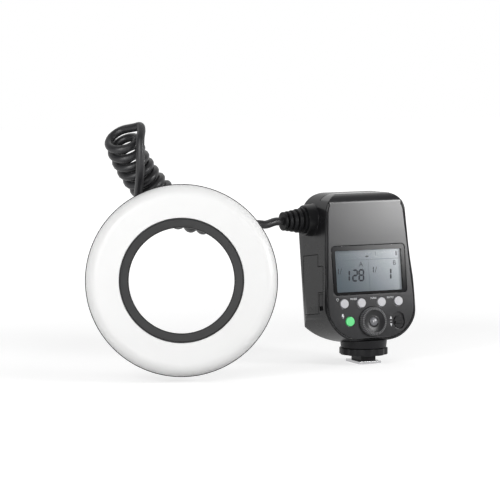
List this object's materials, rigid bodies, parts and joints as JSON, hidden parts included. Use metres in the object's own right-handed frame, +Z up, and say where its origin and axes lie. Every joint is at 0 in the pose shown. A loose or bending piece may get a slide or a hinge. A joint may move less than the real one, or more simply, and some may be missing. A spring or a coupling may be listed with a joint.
{
  "type": "macro ring flash",
  "caption": "Ring-shaped flash head for the front of a macro lens, joined by a curly cord to a control unit with display, buttons, dial, side battery and shoe foot.",
  "frame": {"origin": "centre of the shoe plate's underside, where the unit sits in a camera's shoe", "axes": "+Z up out of the shoe, control panel towards -Y, +X to the panel's right, ring head on the -X side"},
  "size_m": [0.2638, 0.1098, 0.1838],
  "materials": {
    "charcoal_plastic": "fine matte texture",
    "panel_plastic": "fine matte texture",
    "black_plastic": "matte",
    "display_glass": "clear gloss",
    "display_cell": "liquid crystal cell",
    "board": "solder mask",
    "capacitor_sleeve": "shrink sleeve",
    "gold_contact": "plated",
    "red_window": "deep red gloss",
    "steel": "plain",
    "shoe_metal": "satin",
    "grey_button": "satin",
    "green_button": "satin, lit from within",
    "relief_rubber": "soft matte",
    "cord_jacket": "soft satin",
    "diffuser": "milky satin",
    "reflector": "bright",
    "tube_glass": "clear"
  },
  "bodies": {
    "main": {"case_shell": "charcoal_plastic", "panel_cover": "panel_plastic", "lcd_window": "display_glass", "lcd_frame": "black_plastic", "lcd_module": "display_cell", "main_board": "board", "tact_switches": "black_plastic", "dial_encoder": "steel", "slide_switch": "steel", "flash_capacitor": "capacitor_sleeve", "battery_contacts": "gold_contact", "af_window": "red_window", "case_screws": "steel", "unit_strain_relief": "relief_rubber", "foot_collar": "charcoal_plastic", "shoe_foot": "black_plastic", "shoe_plate": "shoe_metal", "ring_housing": "black_plastic", "ring_diffuser": "diffuser", "inner_baffle": "charcoal_plastic", "mount_ring": "black_plastic", "tube_reflector": "reflector", "flash_tube_left": "tube_glass", "flash_tube_right": "tube_glass", "ring_board": "board", "latch_spring_left": "steel", "latch_spring_right": "steel", "ring_screws": "steel", "ring_strain_relief": "relief_rubber", "cord_ring_lead": "cord_jacket", "cord_coil": "cord_jacket", "cord_unit_lead": "cord_jacket"},
    "function_button_1": {"function_button_1": "grey_button"},
    "function_button_2": {"function_button_2": "grey_button"},
    "function_button_3": {"function_button_3": "grey_button"},
    "function_button_4": {"function_button_4": "grey_button"},
    "test_button": {"test_button": "green_button"},
    "set_button": {"set_button": "grey_button"},
    "control_dial": {"control_dial": "panel_plastic"},
    "power_switch": {"power_switch": "black_plastic"},
    "battery_pack": {"battery_pack": "charcoal_plastic"},
    "battery_latch": {"battery_latch": "black_plastic"},
    "lock_pin": {"lock_pin": "steel"},
    "lock_ring": {"lock_ring": "black_plastic"},
    "contact_pins": {"contact_pins": "gold_contact"},
    "release_left": {"release_left": "black_plastic"},
    "release_right": {"release_right": "black_plastic"}
  },
  "joints": [
    {"name": "function_1_press", "type": "slide", "parent": "main", "child": "function_button_1", "axis": [0, 0.9903, -0.1392], "range_m": [0, 0.0007], "stiffness_N_per_m": 500},
    {"name": "function_2_press", "type": "slide", "parent": "main", "child": "function_button_2", "axis": [0, 0.9903, -0.1392], "range_m": [0, 0.0007], "stiffness_N_per_m": 500},
    {"name": "function_3_press", "type": "slide", "parent": "main", "child": "function_button_3", "axis": [0, 0.9903, -0.1392], "range_m": [0, 0.0007], "stiffness_N_per_m": 500},
    {"name": "function_4_press", "type": "slide", "parent": "main", "child": "function_button_4", "axis": [0, 0.9903, -0.1392], "range_m": [0, 0.0007], "stiffness_N_per_m": 500},
    {"name": "test_press", "type": "slide", "parent": "main", "child": "test_button", "axis": [0, 0.9903, -0.1392], "range_m": [0, 0.0007], "stiffness_N_per_m": 500},
    {"name": "set_press", "type": "slide", "parent": "main", "child": "set_button", "axis": [0, 0.9903, -0.1392], "range_m": [0, 0.0007], "stiffness_N_per_m": 500},
    {"name": "dial_turn", "type": "hinge", "parent": "main", "child": "control_dial", "pos_m": [0, -0.0141, 0.03206], "axis": [0, -0.9903, 0.1392], "continuous": true},
    {"name": "power_slide", "type": "slide", "parent": "main", "child": "power_switch", "axis": [0, 0.1392, 0.9903], "range_m": [0, 0.0028]},
    {"name": "battery_draw", "type": "slide", "parent": "main", "child": "battery_pack", "axis": [-1, 0, 0], "range_m": [0, 0.058]},
    {"name": "latch_slide", "type": "slide", "parent": "main", "child": "battery_latch", "axis": [0, -0.1392, -0.9903], "range_m": [0, 0.0026], "stiffness_N_per_m": 400},
    {"name": "lock_drop", "type": "slide", "parent": "main", "child": "lock_pin", "axis": [0, 0, -1], "range_m": [0, 0.0012]},
    {"name": "lock_turn", "type": "hinge", "parent": "main", "child": "lock_ring", "pos_m": [0, 0, 0.0089], "axis": [0, 0, 1], "range_deg": [0, 240]},
    {"name": "contact_press", "type": "slide", "parent": "main", "child": "contact_pins", "axis": [0, 0, 1], "range_m": [0, 0.0007], "stiffness_N_per_m": 600},
    {"name": "release_left_press", "type": "slide", "parent": "main", "child": "release_left", "axis": [0.9085, -0.4179, 0], "range_m": [0, 0.0018], "stiffness_N_per_m": 400, "deforming": ["latch_spring_left"]},
    {"name": "release_right_press", "type": "slide", "parent": "main", "child": "release_right", "axis": [-0.9085, 0.4179, 0], "range_m": [0, 0.0018], "stiffness_N_per_m": 400, "deforming": ["latch_spring_right"]}
  ]
}
